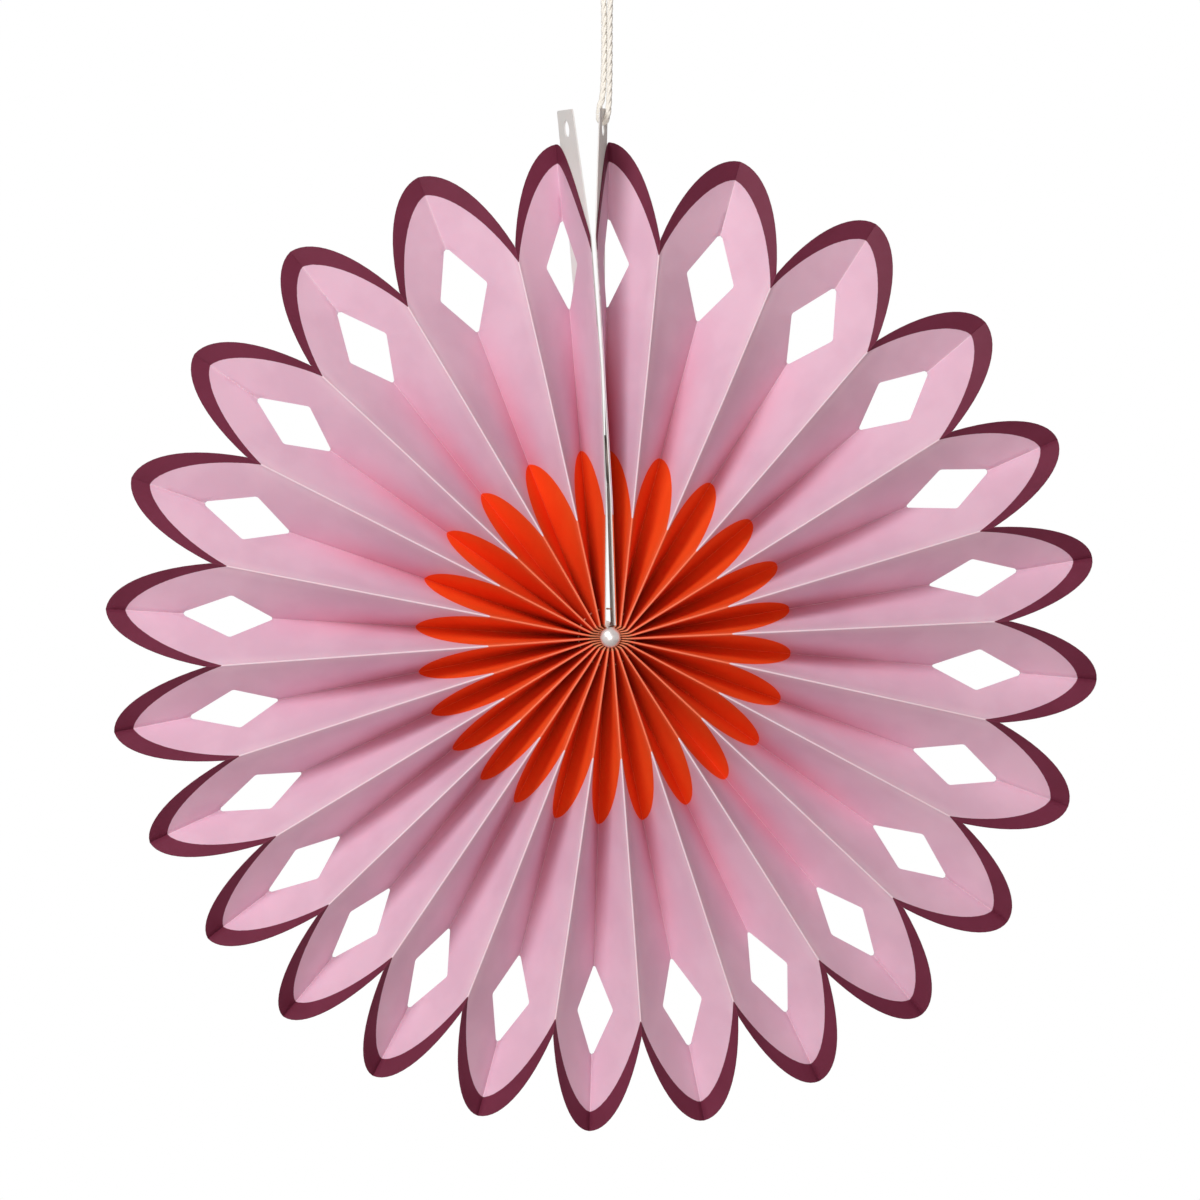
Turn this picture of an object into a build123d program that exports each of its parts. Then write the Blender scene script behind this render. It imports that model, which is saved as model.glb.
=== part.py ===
"""A hanging paper medallion: one printed strip of paper, pleated and opened through a full turn.

Lengths are in millimetres. X runs to the right, Y away from the viewer and Z up. The origin is
where a hook carries the eye of the cord, and the medallion hangs below it with its back folds
in one upright plane, as against a wall.
"""

import os
from math import atan2, cos, degrees, hypot, pi, radians, sin, tan

from build123d import *

os.makedirs("parts", exist_ok=True)

# Rosette, seen from the front
tip_radius = 150.0
notch_radius = 121.0
width_share = 1.01
rim_depth = 9.8
hub_drop = 223.0

# Each petal's part of the full turn, clockwise from the seam at the top
petal_shares = (
    0.66, 1.21, 1.20, 1.17, 1.04, 0.95, 1.02, 1.07, 1.03, 1.00, 0.98, 0.98, 0.88,
    0.93, 0.88, 0.85, 0.89, 0.91, 0.95, 1.03, 1.11, 1.11, 1.14, 1.23, 0.72,
)
first_valley_share = 0.30
last_valley_share = 0.73

# Places along a fold, from the ring at the hub to the notches, where it may change direction
bend_shares = (0.33, 0.66, 1.0)

# How far the folds beside the seam lie from the middle, at those places and at the tips
right_edge_shares = (0.0044, -0.0148, -0.0345, -0.0256)
right_valley_shares = (0.0115, 0.006, 0.011, 0.0155)
left_edge_shares = (-0.0131, -0.0243, -0.0500, -0.0880)

# Paper
paper_thickness = 0.2
packing_share = 1.7

# Cut-outs on the back folds
diamond_radius = 113.3
diamond_length = 28.9
diamond_width = 18.7
diamond_corner = 1.2

# Inner ends of the pleats
ring_half_gap = 1.2
ring_spread = 3.2
ring_rise = 1.0
core_recess = 1.5

# End strips and their closure discs
strip_width = 17.0
strip_thickness = 0.35
strip_margin = 0.3
strip_rise = 10.0
strip_corner = 1.0
seat_gap = 0.1
hole_radius = 2.5
hole_inset = 5.8
disc_radius = 7.2
disc_thickness = 0.7
disc_place_radius = 54.0
disc_clearance = 0.15

# Hub
head_overlap = 0.4
head_height = 2.2
head_lip = 0.5
shank_radius = 1.6
shank_clearance = 0.15
washer_radius = 5.0
washer_thickness = 0.6
flare_radius = 2.4
flare_height = 0.8

# Binding thread
thread_radius = 0.3
thread_ring_radius = 8.6
thread_clearance = 0.25
thread_sides = 6
thread_hole_sides = 4

# Cord
cord_radius = 0.95
cord_gap = 0.1
tail_height = 2.5
tail_gap = 0.2
arc_share = 0.45
knot_radius = 3.8
knot_height = 8.0
knot_drop = 25.0
knot_round_share = 0.4

# The cord's right strand, from over the strip up to the top of its eye
strand_places = (
    (0.8, -0.55, -58.5), (0.8, -0.55, -20.5), (4.9, 0, -13.6), (6.6, 0, -6.0), (3.7, 0, cord_radius),
)

overrun = 3.0

petal_count = len(petal_shares)
fold_count = 2 * petal_count
back_of_seam = fold_count - 1
hub_z = -hub_drop
hub_axis = Axis((0, 0, hub_z), (0, 1, 0))
face_plane = Plane(origin=(0, 0, hub_z), x_dir=(1, 0, 0), z_dir=(0, -1, 0))
hub_section = Plane(origin=(0, 0, hub_z), x_dir=(1, 0, 0), z_dir=(0, 0, 1))

# The inner ends stand side by side round the core, so the paper's thickness sets its size.
core_radius = fold_count * paper_thickness * packing_share / (2 * pi)
ring_half_width = core_radius + ring_spread
ring_half_height = core_radius + ring_rise
reach_radius = tip_radius + overrun
strip_top_radius = tip_radius + strip_rise
hole_place_radius = strip_top_radius - hole_inset


def rim_angles():
    """Each fold's angle at the notches, clockwise from up: front folds are even, back folds odd."""
    start = degrees(atan2(right_edge_shares[2], 1))
    turn = 360 + degrees(atan2(left_edge_shares[2], 1)) - start
    angles = [start]
    for petal, share in enumerate(petal_shares):
        pitch = turn * share / sum(petal_shares)
        valley_share = {0: first_valley_share, petal_count - 1: last_valley_share}.get(petal, 0.5)
        angles += [angles[-1] + pitch * valley_share, angles[-1] + pitch]
    return angles


def fold_lines():
    """Each fold's places in the front view: core, ring, the bends, and just past the tips."""
    ring_start = degrees(atan2(ring_half_gap, ring_half_height))
    lines = []
    for fold, rim_angle in enumerate(rim_angles()):
        ring_angle = ring_start + fold * (360 - 2 * ring_start) / fold_count
        ring_sin, ring_cos = sin(radians(ring_angle)), cos(radians(ring_angle))
        ring = Vector(ring_half_width * ring_sin, 0, ring_half_height * ring_cos)
        rim = Vector(sin(radians(rim_angle)), 0, cos(radians(rim_angle))) * notch_radius
        reach_share = (reach_radius - ring.length) / (notch_radius - ring.length)
        outer_shares = (*bend_shares, reach_share)
        seam = {0: right_edge_shares, 1: right_valley_shares, fold_count: left_edge_shares}
        if fold in seam:
            outer = [
                Vector(share * notch_radius, 0, ring_half_height + way * (notch_radius - ring_half_height))
                for share, way in zip(seam[fold], outer_shares)
            ]
        else:
            outer = [ring + (rim - ring) * way for way in outer_shares]
        core = Vector(core_radius * ring_sin, 0, core_radius * ring_cos)
        lines.append([core, ring, *outer])
    return lines


fold_places = fold_lines()
fold_radii = [[place.length for place in line] for line in fold_places]

# The opened sheet settles a little wider than it is high.
front_view = [[Vector(place.X * width_share, 0, place.Z) for place in line] for line in fold_places]
station_count = len(front_view[0])
notch_station = station_count - 2


def span(panel, station):
    """How wide a panel looks from the front at one station."""
    return (front_view[panel + 1][station] - front_view[panel][station]).length


pleat_width = hypot(rim_depth, max(span(panel, notch_station) for panel in range(fold_count)))
back_y = pleat_width / 2


def fold_depths(fold):
    """Where a fold lies front to back at each station. Back folds keep to one plane."""
    if fold % 2:
        return [back_y] * station_count
    panels = [panel for panel in (fold - 1, fold) if 0 <= panel < fold_count]
    depths = []
    for station in range(notch_station + 1):
        rises = [(pleat_width**2 - span(panel, station) ** 2) ** 0.5 for panel in panels]
        depths.append(back_y - sum(rises) / len(rises))
    depths[0] += core_recess
    before, notch = front_view[fold][notch_station - 1 : notch_station + 1]
    reach = front_view[fold][-1]
    slope = (depths[-1] - depths[-2]) / (notch - before).length
    return depths + [depths[-1] + slope * (reach - notch).length]


folds = [
    [place + Vector(0, y, hub_z) for place, y in zip(front_view[fold], fold_depths(fold))]
    for fold in range(fold_count + 1)
]


def fold_point(fold, radius):
    """A place on a fold, at a distance from the hub in the front view, outside the hub's ring."""
    radii = fold_radii[fold]
    after = next((i for i in range(2, station_count) if radii[i] > radius), station_count - 1)
    share = (radius - radii[after - 1]) / (radii[after] - radii[after - 1])
    return folds[fold][after - 1] * (1 - share) + folds[fold][after] * share


def slope_of(front, back):
    """Shares of a panel's width that run across the view and front to back."""
    across, depth = hypot(back.X - front.X, back.Z - front.Z), back.Y - front.Y
    return across / hypot(across, depth), depth / hypot(across, depth), across


def cross_plane(front, back):
    """The upright plane through a place on a front fold and one on a back fold, X from front to back."""
    across = Vector(back.X - front.X, 0, back.Z - front.Z).normalized()
    return Plane(origin=(front.X, 0, front.Z), x_dir=across, z_dir=across.cross(Vector(0, 1, 0)))


def faceted_solid(planes, outlines):
    """A closed solid through outlines of like corners, with flat triangles from one to the next.

    The two halves of each outline are its two sides, split along the same diagonal of the sheet.
    """
    rings = [
        [plane.from_local_coords(Vector(x, y, 0)) for x, y in outline]
        for plane, outline in zip(planes, outlines)
    ]
    faces = [Face(Wire.make_polygon(rings[0])), Face(Wire.make_polygon(rings[-1]))]
    for near, far in zip(rings, rings[1:]):
        for i, (a, b, c, d) in enumerate(zip(near, near[1:] + near[:1], far[1:] + far[:1], far)):
            halves = ((a, b, c), (a, c, d)) if i < len(near) / 2 else ((a, b, d), (b, c, d))
            faces += [Face(Wire.make_polygon(half)) for half in halves]
    return Solid(Shell(faces))


def inner_mitre(fold, station):
    """How far the paper fills the inside of a fold, along Y."""
    sides = [side for side in (fold - 1, fold + 1) if 0 <= side <= fold_count]
    shares = [slope_of(*sorted((folds[fold][station], folds[side][station]), key=lambda p: p.Y))[0]
              for side in sides]
    return sum(paper_thickness / 2 / share for share in shares) / len(shares)


def panel_outline(front_fold, back_fold, station):
    """A panel's section between its two folds: flat on the outside of a fold, mitred inside."""
    front, back = folds[front_fold][station], folds[back_fold][station]
    across_share, depth_share, across = slope_of(front, back)
    half = paper_thickness / 2
    flat = half * (1 - across_share) / depth_share
    if front_fold in (0, fold_count):
        front_points = [
            (-half * depth_share, front.Y + half * across_share),
            (half * depth_share, front.Y - half * across_share),
        ]
    else:
        front_points = [
            (0, front.Y + inner_mitre(front_fold, station)),
            (0, front.Y - half),
            (flat, front.Y - half),
        ]
    back_points = [
        (across, back.Y - inner_mitre(back_fold, station)),
        (across, back.Y + half),
        (across - flat, back.Y + half),
    ]
    return front_points + back_points


def petal_frame(front_fold, back_fold):
    """The tip of a panel's arch, the way out along its back fold and the way to its front fold."""
    on_face = [face_plane.to_local_coords(p) for p in (
        fold_point(back_fold, tip_radius), fold_point(back_fold, notch_radius),
        fold_point(front_fold, notch_radius))]
    tip, below, notch = [Vector(p.X, p.Y) for p in on_face]
    outward = (tip - below).normalized()
    sideways = Vector(-outward.Y, outward.X)
    if (notch - tip).dot(sideways) < 0:
        sideways = -sideways
    return tip, notch, outward, sideways


def thread_plane(front_fold, back_fold):
    """Where the binding thread crosses a panel, square to the thread."""
    crossing = (fold_point(front_fold, thread_ring_radius) + fold_point(back_fold, thread_ring_radius)) / 2
    outward = Vector(crossing.X, 0, crossing.Z - hub_z).normalized()
    middle = Vector(0, 0, hub_z) + outward * thread_ring_radius
    return Plane(origin=middle, x_dir=outward, z_dir=outward.cross(Vector(0, 1, 0)))


def make_panel(panel):
    """One panel of the folded paper, with its half of an arch and of a diamond."""
    front_fold = panel + panel % 2
    back_fold = panel + 1 - panel % 2
    tip, notch, outward, sideways = petal_frame(front_fold, back_fold)
    half_span = (notch - tip).dot(sideways)
    crown = tip + sideways * (half_span / 2)
    past_notch = notch + (notch - crown).normalized() * overrun
    past_tip = tip - sideways * overrun
    rise = tip_radius - notch_radius + overrun
    middle = tip - outward * (tip_radius - diamond_radius)
    edge_point = face_plane.to_local_coords(fold_point(front_fold, diamond_radius))
    edge_distance = (Vector(edge_point.X, edge_point.Y) - middle).dot(sideways)
    squeeze = edge_distance / pleat_width
    half_diamond = diamond_width / 2 * squeeze

    planes = [cross_plane(*ends) for ends in zip(folds[front_fold], folds[back_fold])]
    outlines = [panel_outline(front_fold, back_fold, station) for station in range(station_count)]

    with BuildPart() as flap:
        if front_fold in (0, fold_count):
            # The two end panels twist beside the seam, and the strips take the same smooth twist.
            for plane, outline in zip(planes, outlines):
                with BuildSketch(plane):
                    with BuildLine():
                        Polyline(*outline, close=True)
                    make_face()
            loft(ruled=True)
        else:
            add(faceted_solid(planes, outlines))
        with BuildSketch(face_plane):
            with BuildLine():
                Bezier(notch, crown, tip)
                Polyline(
                    tip, past_tip, past_tip + outward * rise,
                    past_notch + outward * (2 * rise) + sideways * half_span, past_notch, notch,
                )
            make_face()
        extrude(amount=pleat_width, both=True, mode=Mode.SUBTRACT)
        with BuildSketch(face_plane) as diamond:
            with BuildLine():
                Polyline(
                    middle + outward * (diamond_length / 2), middle + sideways * half_diamond,
                    middle - outward * (diamond_length / 2), middle - sideways * half_diamond,
                    close=True,
                )
            make_face()
            chamfer(diamond.vertices(), length=diamond_corner * squeeze)
        extrude(amount=pleat_width, both=True, mode=Mode.SUBTRACT)
        with BuildSketch(thread_plane(front_fold, back_fold)):
            RegularPolygon(thread_radius + thread_clearance, thread_hole_sides)
        extrude(amount=overrun, both=True, mode=Mode.SUBTRACT)
    return flap.part


# The folded sheet: every panel joins the next along its fold, so it is one piece of paper.
with BuildPart() as pleated_sheet:
    add([make_panel(panel) for panel in range(fold_count)])
pleated_sheet.part.label = "pleated_sheet"
export_step(pleated_sheet.part, "parts/pleated_sheet.step")


def strip_plane(front_fold, back_fold, radius):
    """On the middle of an end strip's paper side: X from front to back, Z out of the strip."""
    front, back = fold_point(front_fold, radius), fold_point(back_fold, radius)
    width_way = (back - front).normalized()
    further = fold_point(front_fold, radius + overrun) - front
    out_way = width_way.cross(further).normalized()
    seam_way = Vector(-front.X + back.X, 0, 0)
    if out_way.dot(seam_way) > 0:
        out_way = -out_way
    middle = front + width_way * (strip_margin + strip_width / 2)
    return Plane(
        origin=middle + out_way * (paper_thickness / 2 + seat_gap), x_dir=width_way, z_dir=out_way
    )


def make_strip(front_fold, back_fold):
    """A stiff strip on the back of an end panel, with a hanging hole and a seat for a disc."""
    places = list(zip(folds[front_fold], folds[back_fold]))[1 : notch_station + 1]
    places.append(
        (fold_point(front_fold, strip_top_radius), fold_point(back_fold, strip_top_radius))
    )
    near = paper_thickness / 2 + seat_gap
    far = near + strip_thickness
    end = strip_margin + strip_width

    with BuildPart() as strip:
        for front, back in places:
            across_share, depth_share, _ = slope_of(front, back)
            corners = [
                (along * across_share - off * depth_share, front.Y + along * depth_share + off * across_share)
                for along, off in ((strip_margin, near), (end, near), (end, far), (strip_margin, far))
            ]
            with BuildSketch(cross_plane(front, back)):
                with BuildLine():
                    Polyline(*corners, close=True)
                make_face()
        loft(ruled=True)
        top = strip.faces().sort_by(Axis.Z)[-1]
        fillet(top.edges().sort_by(SortBy.LENGTH)[:2], radius=strip_corner)
        with BuildSketch(strip_plane(front_fold, back_fold, hole_place_radius)):
            Circle(hole_radius)
        extrude(amount=overrun, both=True, mode=Mode.SUBTRACT)
        with BuildSketch(strip_plane(front_fold, back_fold, disc_place_radius)):
            Circle(disc_radius + disc_clearance)
        extrude(amount=overrun, both=True, mode=Mode.SUBTRACT)
        with BuildSketch(thread_plane(front_fold, back_fold)):
            RegularPolygon(thread_radius + thread_clearance, thread_hole_sides)
        extrude(amount=overrun, both=True, mode=Mode.SUBTRACT)
    return strip.part


for side, front_fold, back_fold in (("right", 0, 1), ("left", fold_count, back_of_seam)):
    with BuildPart() as end_strip:
        add(make_strip(front_fold, back_fold))
    end_strip.part.label = f"end_strip_{side}"
    export_step(end_strip.part, f"parts/end_strip_{side}.step")

    with BuildPart() as closure_disc:
        seat = strip_plane(front_fold, back_fold, disc_place_radius)
        with BuildSketch(seat.offset(disc_clearance)):
            Circle(disc_radius)
        extrude(amount=disc_thickness)
    closure_disc.part.label = f"closure_disc_{side}"
    export_step(closure_disc.part, f"parts/closure_disc_{side}.step")

with BuildPart() as binding_thread:
    with BuildSketch(hub_section):
        with Locations((thread_ring_radius, 0)):
            RegularPolygon(thread_radius, thread_sides)
    revolve(axis=hub_axis)
binding_thread.part.label = "binding_thread"
export_step(binding_thread.part, "parts/binding_thread.step")

# The rivet: its head seats on the front of the packed inner ends, its flare behind the washer.
head_radius = core_radius + head_overlap
core_front = min(folds[fold][0].Y for fold in range(0, fold_count, 2)) - paper_thickness / 2
head_seat = core_front - core_recess * head_overlap / ring_rise - seat_gap
washer_front = back_y + paper_thickness / 2 + seat_gap
flare_front = washer_front + washer_thickness
dome_height = head_height - head_lip
dome_radius = (head_radius**2 + dome_height**2) / (2 * dome_height)

with BuildPart() as hub_rivet:
    with BuildSketch(hub_section):
        with BuildLine():
            RadiusArc((0, head_seat - head_height), (head_radius, head_seat - head_lip), -dome_radius)
            Polyline(
                (head_radius, head_seat - head_lip), (head_radius, head_seat),
                (shank_radius, head_seat), (shank_radius, flare_front),
                (flare_radius, flare_front), (shank_radius, flare_front + flare_height),
                (0, flare_front + flare_height), (0, head_seat - head_height),
            )
        make_face()
    revolve(axis=hub_axis)
hub_rivet.part.label = "hub_rivet"
export_step(hub_rivet.part, "parts/hub_rivet.step")

with BuildPart() as hub_washer:
    with BuildSketch(Plane(origin=(0, washer_front, hub_z), z_dir=(0, 1, 0))):
        Circle(washer_radius)
        Circle(shank_radius + shank_clearance, mode=Mode.SUBTRACT)
    extrude(amount=washer_thickness)
hub_washer.part.label = "hub_washer"
export_step(hub_washer.part, "parts/hub_washer.step")

# The cord starts beside the right strip, passes through its hole, rises to the eye and comes back.
hole = strip_plane(0, 1, hole_place_radius)
hole_middle = hole.origin + hole.z_dir * (strip_thickness / 2)
seam_way = Vector(hole.z_dir.X, hole.z_dir.Y, 0).normalized()
strip_lean = (hole.origin - strip_plane(0, 1, strip_top_radius).origin).dot(seam_way)
strand_offset = strip_thickness / 2 + cord_gap + cord_radius
rest_z = hole_middle.Z + hole_radius - cord_radius - cord_gap
rest = Vector(hole_middle.X, hole_middle.Y, rest_z)
inside = rest + seam_way * strand_offset
outside = rest - seam_way * (strand_offset + max(strip_lean, 0))
over_strip = Vector(inside.X, inside.Y, hub_z + strip_top_radius + cord_gap)
right_strand = [Vector(*place) for place in strand_places]

# The left strand is the right one turned half round, so the two lie one before the other.
left_strand = [Vector(-point.X, -point.Y, point.Z) for point in reversed(right_strand)]
route = [inside + Vector(0, 0, tail_height), inside, outside]
route += right_strand + left_strand
route += [over_strip, inside + Vector(0, 0, tail_height + tail_gap)]


def corner_radii(points):
    """For each corner, an arc that leaves part of its shorter run straight."""
    radii = []
    for before, corner, after in zip(points, points[1:], points[2:]):
        turn = radians((corner - before).get_angle(after - corner))
        shorter = min((corner - before).length, (after - corner).length)
        radii.append(arc_share * shorter / tan(turn / 2))
    return radii


radii = corner_radii(route)
print("cord arcs, mm:", [round(radius, 2) for radius in radii])

with BuildPart() as hanging_cord:
    with BuildLine() as path:
        FilletPolyline(*route, radius=radii)
    with BuildSketch(Plane(origin=path.line @ 0, z_dir=path.line % 0)):
        Circle(cord_radius)
    sweep()
hanging_cord.part.label = "hanging_cord"
export_step(hanging_cord.part, "parts/hanging_cord.step")
cord_length = path.wires()[0].length
print("cord length, mm:", round(cord_length, 1))
print("tube to section times length:",
      round(hanging_cord.part.volume / (pi * cord_radius**2 * cord_length), 4))

# The knot that ties the two strands together under the eye
with BuildPart() as cord_knot:
    with BuildSketch(Plane.XY.offset(-knot_drop - knot_height / 2)):
        Circle(knot_radius)
    extrude(amount=knot_height)
    chamfer(cord_knot.edges(), length=knot_radius * knot_round_share)
    add(hanging_cord.part, mode=Mode.SUBTRACT)
cord_knot.part.label = "cord_knot"
export_step(cord_knot.part, "parts/cord_knot.step")
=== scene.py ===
"""The paper fan medallion, dressed for its picture: a pleated, printed sheet hung on a cord.

Lengths are in metres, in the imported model's frame. X runs right, Y away from the viewer and Z up.
The origin is in the cord's eye, where a hook carries it.
"""
from math import atan2, cos, degrees, hypot, pi, radians, sin

import bpy
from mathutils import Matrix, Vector


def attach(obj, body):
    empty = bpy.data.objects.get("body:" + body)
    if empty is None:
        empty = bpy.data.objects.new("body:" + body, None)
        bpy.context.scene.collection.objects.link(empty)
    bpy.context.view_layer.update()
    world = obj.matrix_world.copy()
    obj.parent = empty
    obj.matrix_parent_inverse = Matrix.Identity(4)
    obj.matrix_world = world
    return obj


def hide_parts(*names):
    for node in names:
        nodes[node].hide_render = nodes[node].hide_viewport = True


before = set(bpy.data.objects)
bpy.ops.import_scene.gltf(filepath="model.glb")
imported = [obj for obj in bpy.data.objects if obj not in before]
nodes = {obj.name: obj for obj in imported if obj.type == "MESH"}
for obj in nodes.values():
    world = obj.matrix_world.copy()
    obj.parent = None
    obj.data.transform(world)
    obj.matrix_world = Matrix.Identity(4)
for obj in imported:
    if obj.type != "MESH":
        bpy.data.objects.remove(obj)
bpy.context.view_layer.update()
bpy.ops.object.select_all(action="DESELECT")

# The camera stands well back, a little to the left of the hub and a little above it, and looks
# square along that line. The hub lies right of the picture's middle and below it.
hub = Vector((0, 0, -0.223))
camera_distance = 5.0
picture_width = 0.3632
hub_right_share, hub_down_share = 6.9 / 1200, 37.15 / 1200
from_left, from_above = radians(5.9), radians(0.41)
toward_camera = Vector((
    -sin(from_left) * cos(from_above), -cos(from_left) * cos(from_above), sin(from_above)))
camera_turn = (-toward_camera).to_track_quat("-Z", "Y")
camera_right = camera_turn @ Vector((1, 0, 0))
camera_up = camera_turn @ Vector((0, 1, 0))
bpy.ops.object.camera_add(
    location=(
        hub + toward_camera * camera_distance
        - camera_right * hub_right_share * picture_width
        + camera_up * hub_down_share * picture_width
    ),
    rotation=camera_turn.to_euler(),
)
camera = bpy.context.object
camera.data.lens = camera.data.sensor_width * camera_distance / picture_width
bpy.context.scene.camera = camera

# The hanging cord is white cotton of three twisted strands. It starts beside the right strip,
# goes through the punched hole, rises to the eye, turns over the hook and comes back down to the
# strip's other side, with its two runs side by side.
cord_radius = 0.00095
cord_strand_turn = 0.0085
strand_swell = 1.32
cord_points = (
    (-0.002509, -0.00047, -0.064861), (-0.002509, -0.00047, -0.067361),
    (0.000002, -0.001097, -0.067361), (0.0008, -0.00055, -0.0585), (0.0008, -0.00055, -0.0205),
    (0.0049, 0, -0.0136), (0.0066, 0, -0.006), (0.0037, 0, 0.00095),
    (-0.0037, 0, 0.00095), (-0.0066, 0, -0.006), (-0.0049, 0, -0.0136),
    (-0.0008, 0.00055, -0.0205), (-0.0008, 0.00055, -0.0585), (-0.002509, -0.00047, -0.0629),
    (-0.002509, -0.00047, -0.064661),
)
bpy.ops.curve.primitive_nurbs_path_add()
cord_line = bpy.context.object
cord_spline = cord_line.data.splines[0]
cord_spline.points.add(len(cord_points) - len(cord_spline.points))
for control, place in zip(cord_spline.points, cord_points):
    control.co = (*place, 1)
cord_spline.order_u = 3
cord_spline.use_endpoint_u = True
cord_spline.resolution_u = 40


def followed(curve_object):
    """The points that a curve without a bevel runs through, in order."""
    line = bpy.data.meshes.new_from_object(
        curve_object.evaluated_get(bpy.context.evaluated_depsgraph_get()))
    places = [curve_object.matrix_world @ vertex.co for vertex in line.vertices]
    bpy.data.meshes.remove(line)
    return places


def twisted(name, places, radius, turn_length, strand_count=3, sides=8, closed=False):
    """A cord of strands laid round a line, one mesh, with its length along V in its UV map.

    Strands that only touch would leave deep grooves, so each is swollen into its neighbours.
    """
    along = [0.0]
    for before, after in zip(places, places[1:]):
        along.append(along[-1] + (after - before).length)
    turn_total = along[-1] / turn_length
    if closed:
        turn_total = round(turn_total)
    strand_radius = strand_swell * radius / (1 + 1 / sin(pi / strand_count))
    lay_radius = radius - strand_radius
    tangents = []
    for i in range(len(places)):
        ahead = places[min(i + 1, len(places) - 1)]
        behind = places[max(i - 1, 0)]
        if closed and i in (0, len(places) - 1):
            ahead, behind = places[1], places[-2]
        tangents.append((ahead - behind).normalized())
    side = tangents[0].orthogonal().normalized()
    sides_along = []
    for i, tangent in enumerate(tangents):
        if i:
            side = tangents[i - 1].rotation_difference(tangent) @ side
        side = (side - tangent * side.dot(tangent)).normalized()
        sides_along.append(side.copy())
    vertices, faces, around, distances = [], [], [], []
    for strand in range(strand_count):
        first = len(vertices)
        for i, place in enumerate(places):
            angle = 2 * pi * (strand / strand_count + turn_total * along[i] / along[-1])
            across, other = sides_along[i], tangents[i].cross(sides_along[i])
            middle = place + (across * cos(angle) + other * sin(angle)) * lay_radius
            for corner in range(sides):
                lean = angle + 2 * pi * corner / sides
                vertices.append(middle + (across * cos(lean) + other * sin(lean)) * strand_radius)
        for i in range(len(places) - 1):
            for corner in range(sides):
                low, next_corner = first + i * sides, (corner + 1) % sides
                faces.append((
                    low + corner, low + next_corner, low + sides + next_corner, low + sides + corner))
                around.append((corner / sides, (corner + 1) / sides))
                distances.append((along[i], along[i + 1]))
        if not closed:
            last = first + (len(places) - 1) * sides
            for cap in (range(first + sides - 1, first - 1, -1), range(last, last + sides)):
                faces.append(tuple(cap))
                around.append(None)
                distances.append(None)
    mesh = bpy.data.meshes.new(name)
    mesh.from_pydata(vertices, [], faces)
    layer = mesh.uv_layers.new(name="lay").data
    for polygon, (turns, reaches) in zip(mesh.polygons, zip(around, distances)):
        for corner, loop in enumerate(polygon.loop_indices):
            if turns is None:
                layer[loop].uv = (0, 0)
            else:
                layer[loop].uv = (turns[corner in (1, 2)], reaches[corner > 1])
    piece = bpy.data.objects.new(name, mesh)
    bpy.context.scene.collection.objects.link(piece)
    for polygon in mesh.polygons:
        polygon.use_smooth = True
    return piece


def reckon(tree, operation, *values):
    """One Math node, fed by sockets or plain numbers."""
    node = tree.nodes.new("ShaderNodeMath")
    node.operation = operation
    for socket, value in zip(node.inputs, values):
        if isinstance(value, (int, float)):
            socket.default_value = value
        else:
            tree.links.new(value, socket)
    return node.outputs[0]


def blended(tree, share, first, second):
    """A colour between two, where each is a socket or a plain colour."""
    node = tree.nodes.new("ShaderNodeMix")
    node.data_type = "RGBA"
    for socket, value in ((node.inputs[0], share), (node.inputs[6], first), (node.inputs[7], second)):
        if isinstance(value, (tuple, float, int)):
            socket.default_value = value
        else:
            tree.links.new(value, socket)
    return node.outputs[2]


def ranged(tree, value, low, high):
    """0 below low and 1 above high, with a soft step between."""
    node = tree.nodes.new("ShaderNodeMapRange")
    node.interpolation_type = "SMOOTHSTEP"
    tree.links.new(value, node.inputs["Value"])
    node.inputs["From Min"].default_value = low
    node.inputs["From Max"].default_value = high
    return node.outputs["Result"]


def grain(tree, place, scale, detail=2.0, roughness=0.5):
    """A noise at a scale in repeats per metre of its coordinates."""
    node = tree.nodes.new("ShaderNodeTexNoise")
    tree.links.new(place, node.inputs["Vector"])
    node.inputs["Scale"].default_value = scale
    node.inputs["Detail"].default_value = detail
    node.inputs["Roughness"].default_value = roughness
    return node.outputs["Fac"]


def raised(tree, height, distance, strength=1.0):
    """A Bump node's normal from a height."""
    node = tree.nodes.new("ShaderNodeBump")
    tree.links.new(height, node.inputs["Height"])
    node.inputs["Distance"].default_value = distance
    node.inputs["Strength"].default_value = strength
    return node.outputs["Normal"]


def srgb(red, green, blue):
    """A colour written in the 0 to 255 steps of a paint chart."""
    return tuple(
        (c / 255 / 12.92 if c <= 10 else ((c / 255 + 0.055) / 1.055) ** 2.4)
        for c in (red, green, blue)
    ) + (1.0,)


cord_finish = bpy.data.materials.new("twisted_cotton")
cord_finish.use_nodes = True
tree = cord_finish.node_tree
shader = tree.nodes["Principled BSDF"]
shader.inputs["Sheen Weight"].default_value = 0.25
shader.inputs["Sheen Roughness"].default_value = 0.6
shader.inputs["Subsurface Weight"].default_value = 0.1
shader.inputs["Subsurface Radius"].default_value = (1.0, 0.95, 0.85)
shader.inputs["Subsurface Scale"].default_value = 0.0003
shader.inputs["Specular IOR Level"].default_value = 0.25
place = tree.nodes.new("ShaderNodeTexCoord")
lay = tree.nodes.new("ShaderNodeSeparateXYZ")
tree.links.new(place.outputs["UV"], lay.inputs[0])
yarn = reckon(tree, "SINE", reckon(
    tree, "ADD", reckon(tree, "MULTIPLY", lay.outputs["X"], 2 * pi * 5),
    reckon(tree, "MULTIPLY", lay.outputs["Y"], 2 * pi / 0.0011)))
fibre = grain(tree, place.outputs["Object"], 3200, 4.0, 0.65)
height = reckon(tree, "ADD", reckon(tree, "MULTIPLY", yarn, 0.3), fibre)
tree.links.new(raised(tree, height, 0.00004, 0.5), shader.inputs["Normal"])
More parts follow.
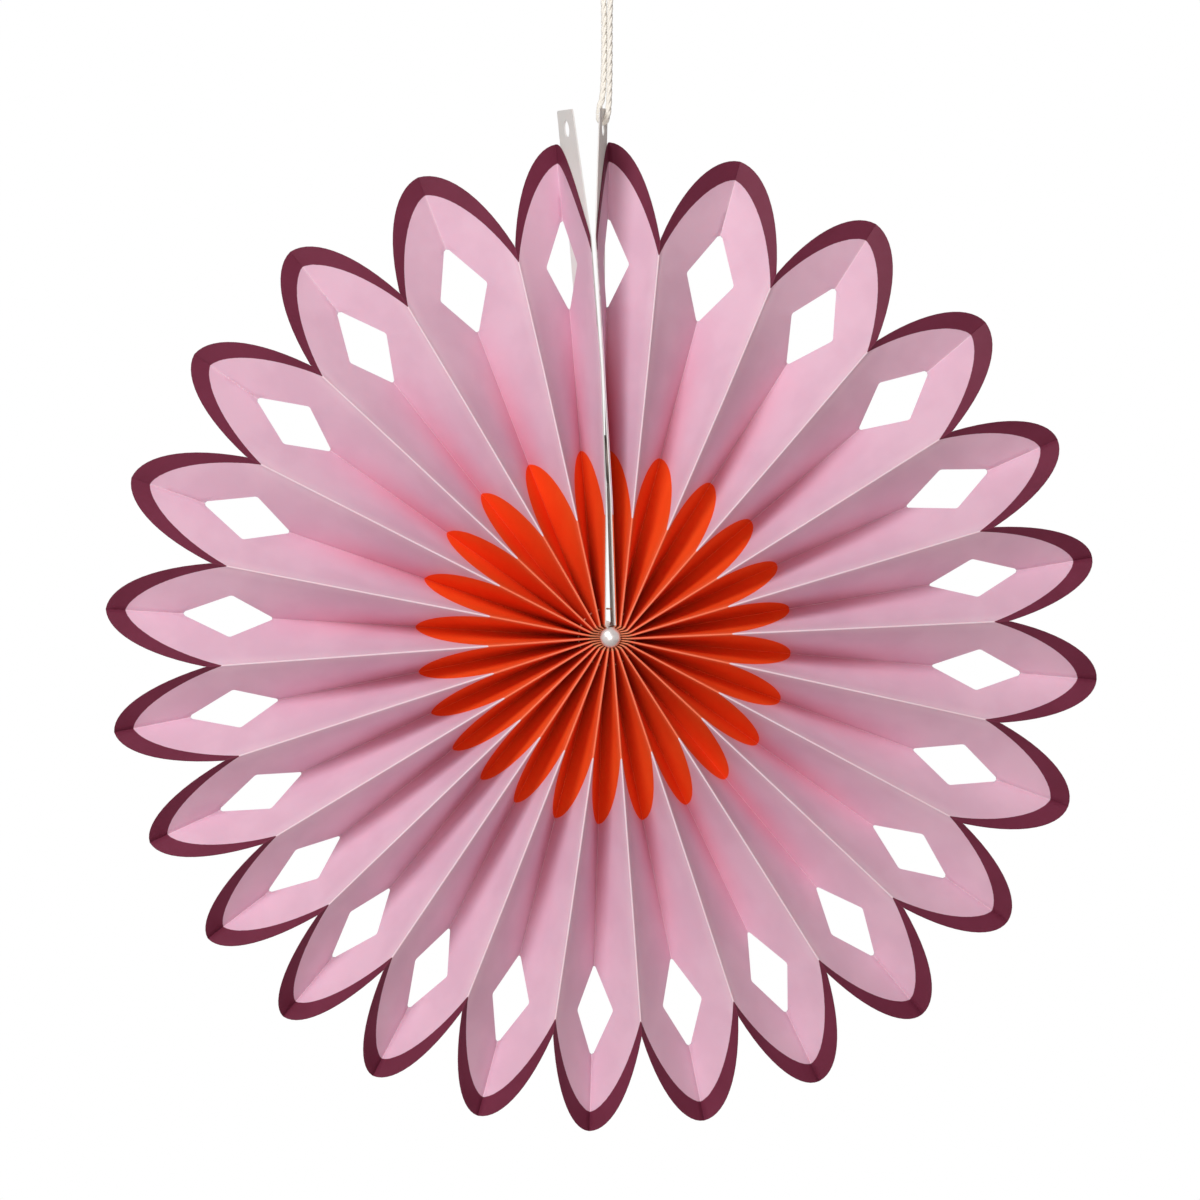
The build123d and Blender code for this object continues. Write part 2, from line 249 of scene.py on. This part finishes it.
# The colour is a little darker where the yarn's bump is low: painted shade in the grooves between its
# plies, together with the fibres' own uneven tone.
tree.links.new(
    blended(tree, ranged(tree, height, 0.1, 0.85), srgb(243, 239, 229), srgb(252, 249, 242)),
    shader.inputs["Base Color"])
tree.links.new(
    reckon(tree, "ADD", reckon(tree, "MULTIPLY", fibre, 0.25), 0.65), shader.inputs["Roughness"])

cord_places = followed(cord_line)
bpy.data.objects.remove(cord_line)
hanging_cord = twisted("cotton_cord", cord_places, cord_radius, cord_strand_turn)
hanging_cord.data.materials.append(cord_finish)
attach(hanging_cord, "root")
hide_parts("hanging_cord")

# The knot under the eye is the same cord, wound in close turns round the two strands and drawn
# tight, with each end tucked under its own turns.
knot_middle = -0.025
knot_turns = 4
knot_half_width, knot_half_depth = 0.00225, 0.0021
knot_steps = 28
tucked_share = 0.45
knot_places = []
for i in range(knot_turns * knot_steps + 1):
    share = i / (knot_turns * knot_steps)
    angle = 2 * pi * knot_turns * share
    tuck = min(1, min(share, 1 - share) * knot_turns * 3)
    reach = tucked_share + (1 - tucked_share) * tuck
    knot_places.append(Vector((
        knot_half_width * cos(angle) * reach,
        -knot_half_depth * sin(angle) * reach,
        knot_middle + (share - 0.5) * 2 * (knot_turns - 1) * cord_radius,
    )))
cord_knot = twisted("cord_knot_turns", knot_places, cord_radius, cord_strand_turn)
cord_knot.data.materials.append(cord_finish)
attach(cord_knot, "root")
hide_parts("cord_knot")

# The folded sheet is one long strip of uncoated paper, printed flat in three inks, die cut along
# one edge into arches with a diamond under each, pleated and opened through a full turn.
tip_radius, notch_radius = 0.150, 0.121
width_share = 1.01
rim_depth = 0.0098
paper_thickness = 0.0002
core_radius, ring_half_width, ring_half_height = 0.0027056, 0.0059056, 0.0037056
ring_half_gap, core_recess = 0.0012, 0.0015
reach_radius = 0.153
diamond_middle, diamond_half_length, diamond_half_width = 0.1133, 0.01445, 0.00935
diamond_corner = 0.0012
ridge_radius, crease_radius = 0.0002, 0.00012
ridge_share, crease_share = 0.014, 0.008

# The petals' shares of the turn run clockwise from the seam. The back fold halves each petal, apart
# from the first and the last. Even fold numbers are front folds, and odd ones are back folds.
petal_shares = (
    0.66, 1.21, 1.20, 1.17, 1.04, 0.95, 1.02, 1.07, 1.03, 1.00, 0.98, 0.98, 0.88,
    0.93, 0.88, 0.85, 0.89, 0.91, 0.95, 1.03, 1.11, 1.11, 1.14, 1.23, 0.72,
)
valley_shares = {0: 0.30, len(petal_shares) - 1: 0.73}
fold_count = 2 * len(petal_shares)

# Every fold has a place at six stations: the core, the oval ring where the pleats let go of each
# other, a third and two thirds of the way out, the notch, and a reach past the tips. The folds
# beside the seam bow sideways, by shares of the notch radius at the last four stations.
bends = (0.33, 0.66, 1.0)
notch_station = 4
right_edge_shares = (0.0044, -0.0148, -0.0345, -0.0256)
right_valley_shares = (0.0115, 0.006, 0.011, 0.0155)
left_edge_shares = (-0.0131, -0.0243, -0.0500, -0.0880)
seam_shares = {0: right_edge_shares, 1: right_valley_shares, fold_count: left_edge_shares}
start = degrees(atan2(right_edge_shares[2], 1))
turn = 360 + degrees(atan2(left_edge_shares[2], 1)) - start
rim_angles = [start]
for petal, share in enumerate(petal_shares):
    pitch = turn * share / sum(petal_shares)
    rim_angles += [rim_angles[-1] + pitch * valley_shares.get(petal, 0.5), rim_angles[-1] + pitch]
ring_start = degrees(atan2(ring_half_gap, ring_half_height))
front_view, fold_radii = [], []
for fold, rim_angle in enumerate(rim_angles):
    ring_angle = radians(ring_start + fold * (360 - 2 * ring_start) / fold_count)
    ring = Vector((ring_half_width * sin(ring_angle), 0, ring_half_height * cos(ring_angle)))
    rim = Vector((sin(radians(rim_angle)), 0, cos(radians(rim_angle)))) * notch_radius
    ways = (*bends, (reach_radius - ring.length) / (notch_radius - ring.length))
    if fold in seam_shares:
        outer = [
            Vector((share * notch_radius, 0, ring_half_height + way * (notch_radius - ring_half_height)))
            for share, way in zip(seam_shares[fold], ways)
        ]
    else:
        outer = [ring + (rim - ring) * way for way in ways]
    core = Vector((core_radius * sin(ring_angle), 0, core_radius * cos(ring_angle)))
    fold_radii.append([place.length for place in (core, ring, *outer)])
    front_view.append([Vector((place.x * width_share, 0, place.z)) for place in (core, ring, *outer)])


def width_in_view(panel, station):
    """How wide a panel looks from the front at one station."""
    return (front_view[panel + 1][station] - front_view[panel][station]).length


# The paper doesn't stretch, so every panel is as wide as the one that lies widest open, and the
# less a panel shows from the front, the further its front fold stands out.
pleat_width = hypot(rim_depth, max(width_in_view(panel, notch_station) for panel in range(fold_count)))
back_y = pleat_width / 2
fold_places = []
for fold, places in enumerate(front_view):
    depths = [back_y] * len(places)
    if fold % 2 == 0:
        panels = [panel for panel in (fold - 1, fold) if 0 <= panel < fold_count]
        depths = []
        for station in range(notch_station + 1):
            rises = [(pleat_width**2 - width_in_view(panel, station) ** 2) ** 0.5 for panel in panels]
            depths.append(back_y - sum(rises) / len(rises))
        depths[0] += core_recess
        before, notch, reach = places[notch_station - 1:]
        slope = (depths[-1] - depths[-2]) / (notch - before).length
        depths.append(depths[-1] + slope * (reach - notch).length)
    fold_places.append([place + Vector((0, y, 0)) + hub for place, y in zip(places, depths)])


def on_fold(fold, radius):
    """A place on a fold line at a radius. Below the ring the radii are shared out to the core."""
    radii = fold_radii[fold]
    after = next((i for i in range(1, len(radii)) if radii[i] > radius), len(radii) - 1)
    share = (radius - radii[after - 1]) / (radii[after] - radii[after - 1])
    return fold_places[fold][after - 1].lerp(fold_places[fold][after], share)


# One flat leaf is half a petal, from its front fold to its back fold. Each row has its radius on the
# front fold, then the share of the leaf's width and the radius where it ends, and last how far it
# has gone over to the arch. The rows' ends follow the back fold, the diamond and the fold again.
inner_radii = (0.0028, 0.0036, 0.0045, 0.0055, 0.0066)
rows_to_diamond, rows_to_arch = 16, 10
front_below_diamond, front_above_diamond = 0.1005, 0.118
leaf_columns = 18
edge_length = hypot(diamond_half_width, diamond_half_length)
edge_distance = diamond_half_width * diamond_half_length / edge_length
shrink = (edge_distance - diamond_corner) / edge_distance
lean = atan2(diamond_half_width, diamond_half_length)
diamond_edge = []
for middle_x, middle_y, first, last, steps in (
        (0, -diamond_half_length * shrink, -90, -degrees(lean), 5),
        (diamond_half_width * shrink, 0, -degrees(lean), degrees(lean), 6),
        (0, diamond_half_length * shrink, degrees(lean), 90, 5)):
    for i in range(steps + 1):
        angle = radians(first + (last - first) * i / steps)
        diamond_edge.append((
            (middle_x + diamond_corner * cos(angle)) / pleat_width,
            diamond_middle + middle_y + diamond_corner * sin(angle),
        ))
below_diamond, above_diamond = diamond_edge[0][1], diamond_edge[-1][1]
leaf_rows = [(radius, 1, radius, 0) for radius in inner_radii]
for i in range(1, rows_to_diamond):
    radius = inner_radii[-1] + (below_diamond - inner_radii[-1]) * i / rows_to_diamond
    leaf_rows.append((radius, 1, radius, 0))
for i, (gap, radius) in enumerate(diamond_edge):
    share = i / (len(diamond_edge) - 1)
    front_radius = front_below_diamond + (front_above_diamond - front_below_diamond) * share
    leaf_rows.append((front_radius, 1 - gap, radius, 0))
for i in range(rows_to_arch):
    leaf_rows.append((front_above_diamond, 1, above_diamond, (i + 1) / rows_to_arch))

bpy.ops.mesh.primitive_grid_add(x_subdivisions=leaf_columns, y_subdivisions=len(leaf_rows) - 1, size=2)
leaf = bpy.context.object
flat_places = []
for vertex in leaf.data.vertices:
    column = round((vertex.co.x + 1) / 2 * leaf_columns)
    row = round((vertex.co.y + 1) / 2 * (len(leaf_rows) - 1))
    front_radius, last_share, back_radius, arch_share = leaf_rows[row]
    ends_at_fold = last_share > 1 - 1e-6
    inner_columns = [0, ridge_share / 2, ridge_share]
    outer_columns = [1 - crease_share, 1 - crease_share / 2, 1] if ends_at_fold else [last_share]
    free = leaf_columns + 1 - len(inner_columns) - len(outer_columns)
    spread = [
        ridge_share + (outer_columns[0] - ridge_share) * (i + 1) / (free + 1) for i in range(free)]
    share = (inner_columns + spread + outer_columns)[column]
    radius = front_radius + (back_radius - front_radius) * share / last_share
    if arch_share:
        rim = notch_radius + (tip_radius - notch_radius) * (1 - (1 - share) ** 2)
        radius += (rim - radius) * arch_share
    flat_places.append((share, radius))
    vertex.co = (share, radius, 0)


def folded(panel, share, radius):
    """Where a place on the flat leaf comes to lie once the sheet is pleated and opened.

    The folds are rounded, less so where the panel is narrow, and the sheet's two ends are plain.
    """
    front_fold, back_fold = panel + panel % 2, panel + 1 - panel % 2
    front, back = on_fold(front_fold, radius), on_fold(back_fold, radius)
    across = Vector((back.x - front.x, 0, back.z - front.z))
    width, depth = across.length, back.y - front.y
    across.normalize()
    ridge = 0 if front_fold in (0, fold_count) else min(ridge_radius, width * 0.3)
    crease = min(crease_radius, width * 0.2)
    if share < ridge_share:
        bend = pi / 2 * share / ridge_share
        way, y = ridge * sin(bend), ridge * (1 - cos(bend))
    elif share > 1 - crease_share:
        bend = pi / 2 * (1 - share) / crease_share
        way, y = width - crease * sin(bend), depth - crease * (1 - cos(bend))
    else:
        flat = (share - ridge_share) / (1 - crease_share - ridge_share)
        way = ridge + (width - crease - ridge) * flat
        y = ridge + (depth - crease - ridge) * flat
    return front + across * way + Vector((0, y, 0))


leaves = []
for panel in range(fold_count):
    bpy.ops.object.select_all(action="DESELECT")
    leaf.select_set(True)
    bpy.context.view_layer.objects.active = leaf
    bpy.ops.object.duplicate()
    half_petal = bpy.context.object
    mesh = half_petal.data
    layer = mesh.uv_layers.active.data
    for loop in mesh.loops:
        share, radius = flat_places[loop.vertex_index]
        along = (panel + share) / 2 if panel % 2 == 0 else (panel + 1 - share) / 2
        layer[loop.index].uv = (along, radius / tip_radius)
    for vertex, (share, radius) in zip(mesh.vertices, flat_places):
        vertex.co = folded(panel, share, radius)
    leaves.append(half_petal)
bpy.data.objects.remove(leaf)
bpy.ops.object.select_all(action="DESELECT")
for half_petal in leaves:
    half_petal.select_set(True)
bpy.context.view_layer.objects.active = leaves[0]
bpy.ops.object.join()
folded_sheet = bpy.context.object
folded_sheet.name = folded_sheet.data.name = "folded_paper"
bpy.ops.object.mode_set(mode="EDIT")
bpy.ops.mesh.select_all(action="SELECT")
bpy.ops.mesh.remove_doubles(threshold=0.000004)
bpy.ops.mesh.normals_make_consistent(inside=False)
bpy.ops.object.mode_set(mode="OBJECT")
if sum(polygon.normal.y * polygon.area for polygon in folded_sheet.data.polygons) > 0:
    bpy.ops.object.mode_set(mode="EDIT")
    bpy.ops.mesh.flip_normals()
    bpy.ops.object.mode_set(mode="OBJECT")
folded_sheet.location = (0, 0, 0)
bpy.ops.object.modifier_add(type="SOLIDIFY")
wall = folded_sheet.modifiers[-1]
wall.thickness = paper_thickness
wall.offset = 0
wall.material_offset_rim = 1
bpy.ops.object.modifier_apply(modifier=wall.name)
bpy.ops.object.shade_smooth_by_angle(angle=radians(40))

# The print is laid out on the flat sheet: U counts the petals, with a front fold at each whole
# number and a back fold half way, and V is the radius as a share of the tips'. The border and the
# heart are arches, each with its radius at the front folds and its rise to the back fold.
border_start, border_rise, border_power = 116.5, 27.6, 1.6
heart_start, heart_rise, heart_power = 36.6, 20.2, 2.0
print_finish = bpy.data.materials.new("printed_paper")
print_finish.use_nodes = True
tree = print_finish.node_tree
shader = tree.nodes["Principled BSDF"]
shader.inputs["Specular IOR Level"].default_value = 0.22
place = tree.nodes.new("ShaderNodeTexCoord")
sheet_place = tree.nodes.new("ShaderNodeSeparateXYZ")
tree.links.new(place.outputs["UV"], sheet_place.inputs[0])
from_valley = reckon(tree, "MULTIPLY", reckon(tree, "ABSOLUTE", reckon(
    tree, "SUBTRACT", reckon(tree, "FRACT", sheet_place.outputs["X"]), 0.5)), 2.0)
millimetres = reckon(tree, "MULTIPLY", sheet_place.outputs["Y"], tip_radius * 1000)
bleed = reckon(tree, "MULTIPLY", reckon(
    tree, "SUBTRACT", grain(tree, place.outputs["Object"], 900, 2.0), 0.5), 0.25)
ink_place = reckon(tree, "ADD", millimetres, bleed)
past_border, past_heart = (
    reckon(tree, "SUBTRACT", ink_place, reckon(tree, "ADD", first, reckon(
        tree, "MULTIPLY", rise, reckon(
            tree, "SUBTRACT", 1.0, reckon(tree, "POWER", from_valley, power)))))
    for first, rise, power in (
        (border_start, border_rise, border_power), (heart_start, heart_rise, heart_power))
)
ink_cloud = grain(tree, place.outputs["Object"], 60, 3.0)
pink = blended(tree, ranged(tree, ink_cloud, 0.35, 0.65), srgb(221, 181, 202), srgb(227, 188, 208))
heart = blended(tree, ranged(tree, ink_cloud, 0.35, 0.65), srgb(243, 80, 24), srgb(247, 88, 30))
wine = blended(tree, ranged(tree, ink_cloud, 0.35, 0.65), srgb(108, 39, 62), srgb(114, 43, 67))

# In the valleys the pink is painted deeper and redder, most of all beside the heart and in the first petal,
# which stands half closed. This is painted shade: the crimson that light bounced between the pleats and
# passed through the paper gives the shadows there. It fades from one radius to another, both in
# millimetres.
strong_shade_radius, unshaded_radius = 52.0, 112.0
valley_shade = reckon(tree, "MULTIPLY", reckon(
    tree, "SUBTRACT", 1.0, ranged(tree, from_valley, 0.0, 0.62)), reckon(
    tree, "SUBTRACT", 1.0, ranged(tree, millimetres, strong_shade_radius, unshaded_radius)))
painted_shade_weight = reckon(
    tree, "SUBTRACT", 1.0, reckon(tree, "MULTIPLY", ranged(tree, sheet_place.outputs["X"], 0.9, 1.1), 0.58))
# Painted shade: the pink turns crimson down the valleys.
pink = blended(tree, reckon(tree, "MULTIPLY", valley_shade, painted_shade_weight), pink, srgb(222, 104, 134))
inks = blended(tree, ranged(tree, past_heart, -0.12, 0.12), heart, pink)

# Along the front folds the inks are worn thin in a pale cracked line. Beside the front folds a faint pale
# band is painted highlight, where the bent paper turns to the light, and a pale line down the back folds is
# painted highlight too, where the crease catches light.
pale_wear_and_highlight = blended(
    tree, ranged(tree, past_heart, -0.12, 0.12), srgb(255, 140, 108), srgb(248, 226, 233))
crack = grain(tree, place.outputs["Object"], 2600, 3.0, 0.7)
wander = reckon(tree, "MULTIPLY", reckon(tree, "SUBTRACT", crack, 0.5), 0.006)
fold_place = reckon(tree, "ADD", from_valley, wander)
# Painted highlight: a faint pale band beside each front fold.
ridge_highlight = reckon(tree, "MULTIPLY", ranged(tree, from_valley, 0.80, 1.0), 0.22)
inks = blended(tree, ridge_highlight, inks, pale_wear_and_highlight)
# Worn ink: a thin pale cracked line on each front fold.
inks = blended(tree, reckon(tree, "MULTIPLY", ranged(tree, fold_place, 0.985, 0.994), 0.6), inks, pale_wear_and_highlight)
# Painted highlight: a pale line down each back fold.
inks = blended(tree, reckon(
    tree, "SUBTRACT", 0.3, reckon(tree, "MULTIPLY", ranged(tree, fold_place, 0.012, 0.026), 0.3)),
    inks, pale_wear_and_highlight)
inks = blended(tree, ranged(tree, past_border, -0.12, 0.12), inks, wine)

# Round the core the pleats' ends are pressed tight, and the print there is rubbed brown, in an
# oval that reaches a little past the ring.
around = tree.nodes.new("ShaderNodeSeparateXYZ")
tree.links.new(place.outputs["Object"], around.inputs[0])
from_core = reckon(tree, "ADD", reckon(
    tree, "POWER", reckon(tree, "DIVIDE", around.outputs["X"], ring_half_width), 2.0), reckon(
    tree, "POWER", reckon(tree, "DIVIDE", reckon(
        tree, "SUBTRACT", around.outputs["Z"], hub.z), ring_half_height), 2.0))
inks = blended(
    tree, ranged(tree, from_core, 1.1, 1.4),
    blended(tree, crack, srgb(206, 110, 72), srgb(240, 150, 112)), inks)
tree.links.new(inks, shader.inputs["Base Color"])
shader.inputs["Subsurface Weight"].default_value = 0.3
shader.inputs["Subsurface Radius"].default_value = (1.0, 0.4, 0.42)
shader.inputs["Subsurface Scale"].default_value = 0.0004
fibre = grain(tree, place.outputs["Object"], 1500, 5.0, 0.6)
tree.links.new(raised(tree, fibre, 0.00003, 0.5), shader.inputs["Normal"])
tree.links.new(
    reckon(tree, "ADD", reckon(tree, "MULTIPLY", fibre, 0.2), 0.5), shader.inputs["Roughness"])

# The cut edge shows the paper's own white through the inks.
edge_finish = bpy.data.materials.new("paper_cut_edge")
edge_finish.use_nodes = True
tree = edge_finish.node_tree
shader = tree.nodes["Principled BSDF"]
shader.inputs["Specular IOR Level"].default_value = 0.2
place = tree.nodes.new("ShaderNodeTexCoord")
fibre = grain(tree, place.outputs["Object"], 4000, 4.0, 0.7)
tree.links.new(
    blended(tree, fibre, srgb(196, 150, 168), srgb(240, 222, 228)), shader.inputs["Base Color"])
tree.links.new(raised(tree, fibre, 0.00004, 0.6), shader.inputs["Normal"])
tree.links.new(
    reckon(tree, "ADD", reckon(tree, "MULTIPLY", fibre, 0.2), 0.6), shader.inputs["Roughness"])
folded_sheet.data.materials.clear()
folded_sheet.data.materials.append(print_finish)
folded_sheet.data.materials.append(edge_finish)
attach(folded_sheet, "root")
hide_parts("pleated_sheet")

# The end strips are stiff white card, glued to the backs of the first and last panels, and punched
# with a hanging hole above the rim.
card_finish = bpy.data.materials.new("white_card")
card_finish.use_nodes = True
tree = card_finish.node_tree
shader = tree.nodes["Principled BSDF"]
shader.inputs["Specular IOR Level"].default_value = 0.3
place = tree.nodes.new("ShaderNodeTexCoord")
fibre = grain(tree, place.outputs["Object"], 1800, 5.0, 0.6)
flecks = grain(tree, place.outputs["Object"], 260, 2.0)
tree.links.new(
    blended(tree, reckon(tree, "MULTIPLY", reckon(tree, "ADD", fibre, flecks), 0.5),
            srgb(246, 242, 237), srgb(252, 249, 246)),
    shader.inputs["Base Color"])
tree.links.new(raised(tree, fibre, 0.00003, 0.5), shader.inputs["Normal"])
tree.links.new(
    reckon(tree, "ADD", reckon(tree, "MULTIPLY", fibre, 0.2), 0.5), shader.inputs["Roughness"])
shader.inputs["Subsurface Weight"].default_value = 0.7
shader.inputs["Subsurface Radius"].default_value = (1.0, 0.9, 0.85)
shader.inputs["Subsurface Scale"].default_value = 0.0008
for side in ("left", "right"):
    nodes[f"end_strip_{side}"].data.materials.clear()
    nodes[f"end_strip_{side}"].data.materials.append(card_finish)

# The closure discs are small steel-backed magnets with a dark satin coat, one let into each strip.
disc_finish = bpy.data.materials.new("dark_coated_disc")
disc_finish.use_nodes = True
tree = disc_finish.node_tree
shader = tree.nodes["Principled BSDF"]
shader.inputs["Metallic"].default_value = 0.3
place = tree.nodes.new("ShaderNodeTexCoord")
speck = grain(tree, place.outputs["Object"], 1400, 4.0, 0.6)
tree.links.new(
    blended(tree, speck, srgb(108, 96, 92), srgb(132, 120, 114)), shader.inputs["Base Color"])
tree.links.new(raised(tree, speck, 0.00002, 0.5), shader.inputs["Normal"])
tree.links.new(
    reckon(tree, "ADD", reckon(tree, "MULTIPLY", speck, 0.25), 0.35), shader.inputs["Roughness"])
for side in ("left", "right"):
    nodes[f"closure_disc_{side}"].data.materials.clear()
    nodes[f"closure_disc_{side}"].data.materials.append(disc_finish)

# The hub rivet and its washer are bright rolled metal. The head is domed by the press and the
# tail is flared over the washer behind the pleats.
rivet_finish = bpy.data.materials.new("bright_rivet")
rivet_finish.use_nodes = True
tree = rivet_finish.node_tree
shader = tree.nodes["Principled BSDF"]
shader.inputs["Metallic"].default_value = 0.9
place = tree.nodes.new("ShaderNodeTexCoord")
speck = grain(tree, place.outputs["Object"], 900, 4.0, 0.6)
tree.links.new(
    blended(tree, speck, srgb(232, 224, 222), srgb(246, 242, 240)), shader.inputs["Base Color"])
tree.links.new(raised(tree, speck, 0.00006, 0.6), shader.inputs["Normal"])
tree.links.new(
    reckon(tree, "ADD", reckon(tree, "MULTIPLY", speck, 0.2), 0.22), shader.inputs["Roughness"])
for name in ("hub_rivet", "hub_washer"):
    nodes[name].data.materials.clear()
    nodes[name].data.materials.append(rivet_finish)

# The binding thread runs round through every pleat near the hub and gathers them into a ring.
thread_ring_radius, thread_radius, thread_turn = 0.0086, 0.0003, 0.0018
thread_steps = 160
thread_places = [
    hub + Vector((sin(2 * pi * i / thread_steps), 0, cos(2 * pi * i / thread_steps))) * thread_ring_radius
    for i in range(thread_steps + 1)
]
thread = twisted(
    "thread_ring", thread_places, thread_radius, thread_turn, strand_count=2, sides=6, closed=True)
thread_finish = bpy.data.materials.new("salmon_thread")
thread_finish.use_nodes = True
tree = thread_finish.node_tree
shader = tree.nodes["Principled BSDF"]
shader.inputs["Sheen Weight"].default_value = 0.2
place = tree.nodes.new("ShaderNodeTexCoord")
fibre = grain(tree, place.outputs["Object"], 5000, 4.0, 0.65)
tree.links.new(
    blended(tree, fibre, srgb(222, 130, 100), srgb(246, 176, 146)), shader.inputs["Base Color"])
tree.links.new(raised(tree, fibre, 0.00003, 0.6), shader.inputs["Normal"])
thread.data.materials.append(thread_finish)
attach(thread, "root")
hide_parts("binding_thread")

# The studio is a pale round floor well below the medallion, out of the picture, a surround that is
# white to the camera, a key lamp up to the left, and a broad soft lamp behind the camera, which
# reaches down into the pleats.
bpy.ops.mesh.primitive_circle_add(vertices=96, radius=1.15, fill_type="NGON", location=(0, 0, -0.62))
studio_floor = bpy.context.object
studio_floor.name = "studio_floor"
floor_finish = bpy.data.materials.new("pale_floor")
floor_finish.use_nodes = True
tree = floor_finish.node_tree
shader = tree.nodes["Principled BSDF"]
shader.inputs["Roughness"].default_value = 0.9
shader.inputs["Specular IOR Level"].default_value = 0.1
place = tree.nodes.new("ShaderNodeTexCoord")
tree.links.new(
    blended(tree, grain(tree, place.outputs["Object"], 8, 3.0), srgb(236, 236, 236), srgb(240, 240, 240)),
    shader.inputs["Base Color"])
studio_floor.data.materials.append(floor_finish)

world = bpy.data.worlds.new("soft_surround")
bpy.context.scene.world = world
world.use_nodes = True
tree = world.node_tree
fill = tree.nodes["Background"]
fill.inputs["Color"].default_value = (1.0, 0.88, 0.80, 1)
fill.inputs["Strength"].default_value = 0.18
shown = tree.nodes.new("ShaderNodeBackground")
shown.inputs["Color"].default_value = (1, 1, 1, 1)
mirrored = tree.nodes.new("ShaderNodeBackground")
mirrored.inputs["Color"].default_value = (1.0, 0.95, 0.95, 1)
mirrored.inputs["Strength"].default_value = 0.6
ray = tree.nodes.new("ShaderNodeLightPath")
surround = fill.outputs[0]
for seen, light in (("Is Glossy Ray", mirrored), ("Is Camera Ray", shown)):
    either = tree.nodes.new("ShaderNodeMixShader")
    tree.links.new(ray.outputs[seen], either.inputs[0])
    tree.links.new(surround, either.inputs[1])
    tree.links.new(light.outputs[0], either.inputs[2])
    surround = either.outputs[0]
tree.links.new(surround, tree.nodes["World Output"].inputs["Surface"])

key_way = Vector((-0.60, -1.0, 0.70)).normalized()
for name, way, distance, size, watts, colour in (
        ("key_lamp", key_way, 2.2, 0.75, 28, (1, 1, 1)),
        ("front_lamp", toward_camera, 5.6, 2.4, 95, (1.0, 0.93, 0.89))):
    bpy.ops.object.light_add(type="AREA", location=hub + way * distance)
    lamp = bpy.context.object
    lamp.name = name
    lamp.rotation_euler = (-way).to_track_quat("-Z", "Y").to_euler()
    lamp.data.shape = "DISK"
    lamp.data.size = size
    lamp.data.energy = watts
    lamp.data.color = colour

bpy.context.scene.view_settings.view_transform = "Standard"
